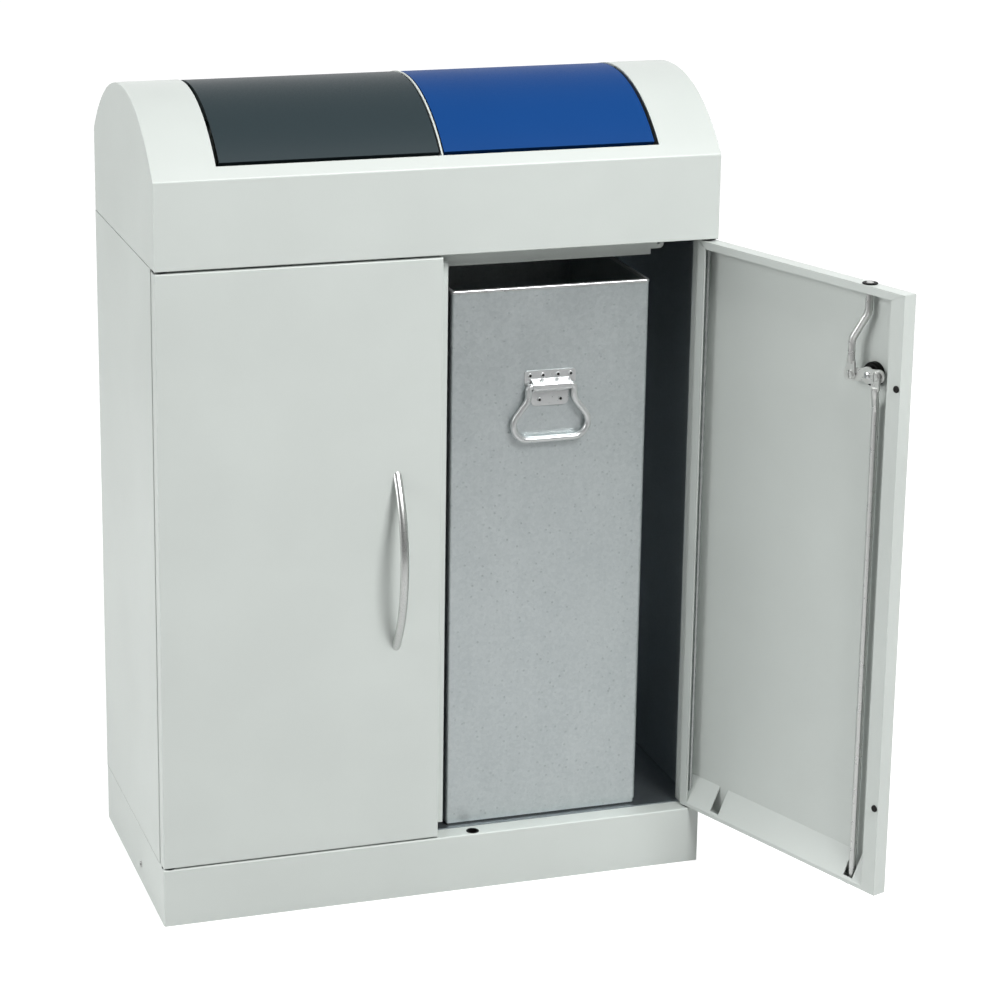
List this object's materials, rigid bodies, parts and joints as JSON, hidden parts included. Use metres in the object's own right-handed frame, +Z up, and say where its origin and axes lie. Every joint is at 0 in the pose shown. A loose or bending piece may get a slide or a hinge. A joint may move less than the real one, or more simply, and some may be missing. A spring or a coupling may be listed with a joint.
{
  "type": "double recycling station",
  "caption": "Sheet-steel recycling cabinet with doors, a rod lock, swing flaps in a barrel hood and pull-out galvanised bins",
  "frame": {"origin": "on the floor, under the middle of the plinth", "axes": "+Z up, -Y to the front with the doors, +X to the right seen from the front"},
  "size_m": [0.8606, 0.6813, 1.04],
  "materials": {
    "cabinet_grey": "light grey powder coat, fine texture",
    "flap_anthracite": "dark grey powder coat",
    "flap_blue": "blue powder coat",
    "galvanised_steel": "galvanised sheet, matt",
    "bright_steel": "bright zinc",
    "satin_steel": "satin",
    "zinc_plate": "zinc plated",
    "black_plastic": "moulded",
    "black_rubber": "soft",
    "lock_chrome": "polished"
  },
  "bodies": {
    "cabinet": {"plinth": "cabinet_grey", "plinth_screws": "zinc_plate", "floor_panel": "cabinet_grey", "left_side_panel": "cabinet_grey", "right_side_panel": "cabinet_grey", "back_panel": "cabinet_grey", "hood_shell": "cabinet_grey", "hood_left_end": "cabinet_grey", "hood_right_end": "cabinet_grey", "left_chute": "cabinet_grey", "right_chute": "cabinet_grey", "hood_divider": "cabinet_grey", "front_rail": "cabinet_grey", "flap_axles": "cabinet_grey", "pivot_bushes": "black_plastic", "sill_bush": "black_plastic"},
    "left_door": {"left_door_panel": "cabinet_grey", "left_hinge_rod": "zinc_plate", "left_handle": "satin_steel", "left_handle_screws": "zinc_plate", "closing_strip": "cabinet_grey"},
    "right_door": {"right_door_panel": "cabinet_grey", "right_hinge_rod": "zinc_plate", "right_handle": "satin_steel", "right_handle_screws": "zinc_plate", "door_buffers": "black_rubber", "lock_body": "black_plastic", "lock_nut": "black_plastic", "top_rod_guide": "black_plastic", "bottom_rod_guide": "black_plastic"},
    "lock_turn": {"lock_cam": "zinc_plate", "lock_plug": "lock_chrome", "cam_screw": "zinc_plate"},
    "top_bolt": {"upper_rod": "zinc_plate"},
    "bottom_bolt": {"lower_rod": "zinc_plate"},
    "left_flap": {"left_flap_skin": "flap_anthracite", "left_flap_ears": "flap_anthracite", "left_flap_bushes": "black_plastic"},
    "right_flap": {"right_flap_skin": "flap_blue", "right_flap_ears": "flap_blue", "right_flap_bushes": "black_plastic"},
    "left_bin": {"left_bin_shell": "galvanised_steel", "left_bin_rim": "bright_steel", "left_bin_base": "galvanised_steel", "left_handle_plate": "galvanised_steel", "left_plate_rivets": "bright_steel"},
    "left_bin_handle": {"left_bail": "bright_steel"},
    "right_bin": {"right_bin_shell": "galvanised_steel", "right_bin_rim": "bright_steel", "right_bin_base": "galvanised_steel", "right_handle_plate": "galvanised_steel", "right_plate_rivets": "bright_steel"},
    "right_bin_handle": {"right_bail": "bright_steel"}
  },
  "joints": [
    {"name": "left_door_hinge", "type": "hinge", "parent": "cabinet", "child": "left_door", "pos_m": [-0.351, -0.17, 0], "axis": [0, 0, -1], "range_deg": [0, 175]},
    {"name": "right_door_hinge", "type": "hinge", "parent": "cabinet", "child": "right_door", "pos_m": [0.351, -0.17, 0], "axis": [0, 0, 1], "range_deg": [-110.5, 64.5]},
    {"name": "lock_key_turn", "type": "hinge", "parent": "right_door", "child": "lock_turn", "pos_m": [0.44905, -0.44508, 0.733], "axis": [0.9367, 0.3502, 0], "range_deg": [0, 40]},
    {"name": "top_bolt_slide", "type": "slide", "parent": "right_door", "child": "top_bolt", "axis": [0, 0, 1], "range_m": [0, 0.01991]},
    {"name": "bottom_bolt_slide", "type": "slide", "parent": "right_door", "child": "bottom_bolt", "axis": [0, 0, -1], "range_m": [0, 0.01225]},
    {"name": "left_flap_swing", "type": "hinge", "parent": "cabinet", "child": "left_flap", "pos_m": [0, 0, 1.028], "axis": [1, 0, 0], "range_deg": [-55, 55]},
    {"name": "right_flap_swing", "type": "hinge", "parent": "cabinet", "child": "right_flap", "pos_m": [0, 0, 1.028], "axis": [1, 0, 0], "range_deg": [-55, 55]},
    {"name": "left_bin_slide", "type": "slide", "parent": "cabinet", "child": "left_bin", "axis": [0, -1, 0], "range_m": [0, 0.005]},
    {"name": "left_bail_swing", "type": "hinge", "parent": "left_bin", "child": "left_bin_handle", "pos_m": [-0.15, -0.15625, 0.664], "axis": [-1, 0, 0], "range_deg": [0, 13]},
    {"name": "right_bin_slide", "type": "slide", "parent": "cabinet", "child": "right_bin", "axis": [0, -1, 0], "range_m": [0, 0.31]},
    {"name": "right_bail_swing", "type": "hinge", "parent": "right_bin", "child": "right_bin_handle", "pos_m": [0.15, -0.15625, 0.664], "axis": [-1, 0, 0], "range_deg": [0, 90]}
  ],
  "couplings": [
    {"joint": "lock_key_turn", "follows": "bottom_bolt_slide", "rad_per_m": 57.006},
    {"joint": "top_bolt_slide", "follows": "bottom_bolt_slide", "ratio": 1.625}
  ]
}
